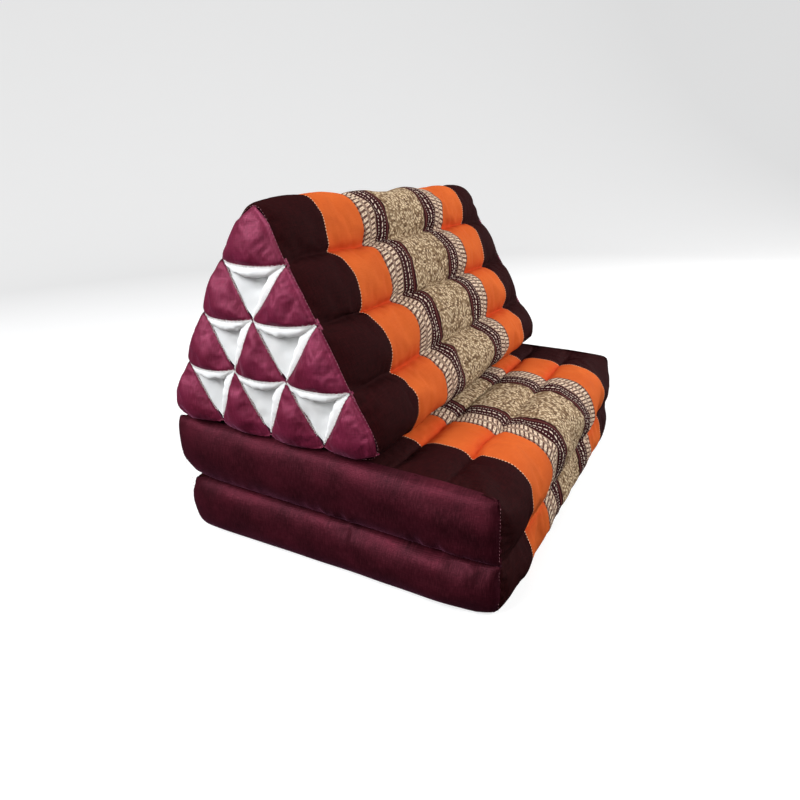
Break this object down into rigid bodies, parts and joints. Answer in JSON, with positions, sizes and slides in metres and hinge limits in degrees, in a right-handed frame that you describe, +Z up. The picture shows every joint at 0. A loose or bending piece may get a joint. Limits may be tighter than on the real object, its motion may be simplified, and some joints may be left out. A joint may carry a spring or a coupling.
{
  "type": "thai triangle cushion",
  "caption": "Padded floor cushion: triangular backrest with patchwork ends, sewn in channels, on two channelled mats folded flat beneath it.",
  "frame": {"origin": "on the floor under the middle of the cushion", "axes": "+X along the rolls and the pattern's repeat, from one patchwork end to the other; the front that a sitter faces from is -Y and +Z is up"},
  "size_m": [0.541, 0.4375, 0.3995],
  "materials": {
    "patterned_cotton": "matte",
    "maroon_cotton": "satin",
    "white_cotton": "matte"
  },
  "bodies": {
    "root": {"backrest": "patterned_cotton", "seat_mat": "patterned_cotton", "fold_mat": "patterned_cotton", "left_pad_r1_1": "maroon_cotton", "left_pad_r2_1": "maroon_cotton", "left_pad_r2_2": "maroon_cotton", "left_pad_r3_1": "maroon_cotton", "left_pad_r3_2": "maroon_cotton", "left_pad_r3_3": "maroon_cotton", "left_pad_r4_1": "maroon_cotton", "left_pad_r4_2": "maroon_cotton", "left_pad_r4_3": "maroon_cotton", "left_pad_r4_4": "maroon_cotton", "left_liner_r2_1": "white_cotton", "left_liner_r3_1": "white_cotton", "left_liner_r3_2": "white_cotton", "left_liner_r4_1": "white_cotton", "left_liner_r4_2": "white_cotton", "left_liner_r4_3": "white_cotton", "seat_mat_side_left": "maroon_cotton", "fold_mat_side_left": "maroon_cotton", "right_pad_r1_1": "maroon_cotton", "right_pad_r2_1": "maroon_cotton", "right_pad_r2_2": "maroon_cotton", "right_pad_r3_1": "maroon_cotton", "right_pad_r3_2": "maroon_cotton", "right_pad_r3_3": "maroon_cotton", "right_pad_r4_1": "maroon_cotton", "right_pad_r4_2": "maroon_cotton", "right_pad_r4_3": "maroon_cotton", "right_pad_r4_4": "maroon_cotton", "right_liner_r2_1": "white_cotton", "right_liner_r3_1": "white_cotton", "right_liner_r3_2": "white_cotton", "right_liner_r4_1": "white_cotton", "right_liner_r4_2": "white_cotton", "right_liner_r4_3": "white_cotton", "seat_mat_side_right": "maroon_cotton", "fold_mat_side_right": "maroon_cotton", "front_hinge": "patterned_cotton", "back_hinge": "patterned_cotton"}
  },
  "joints": []
}
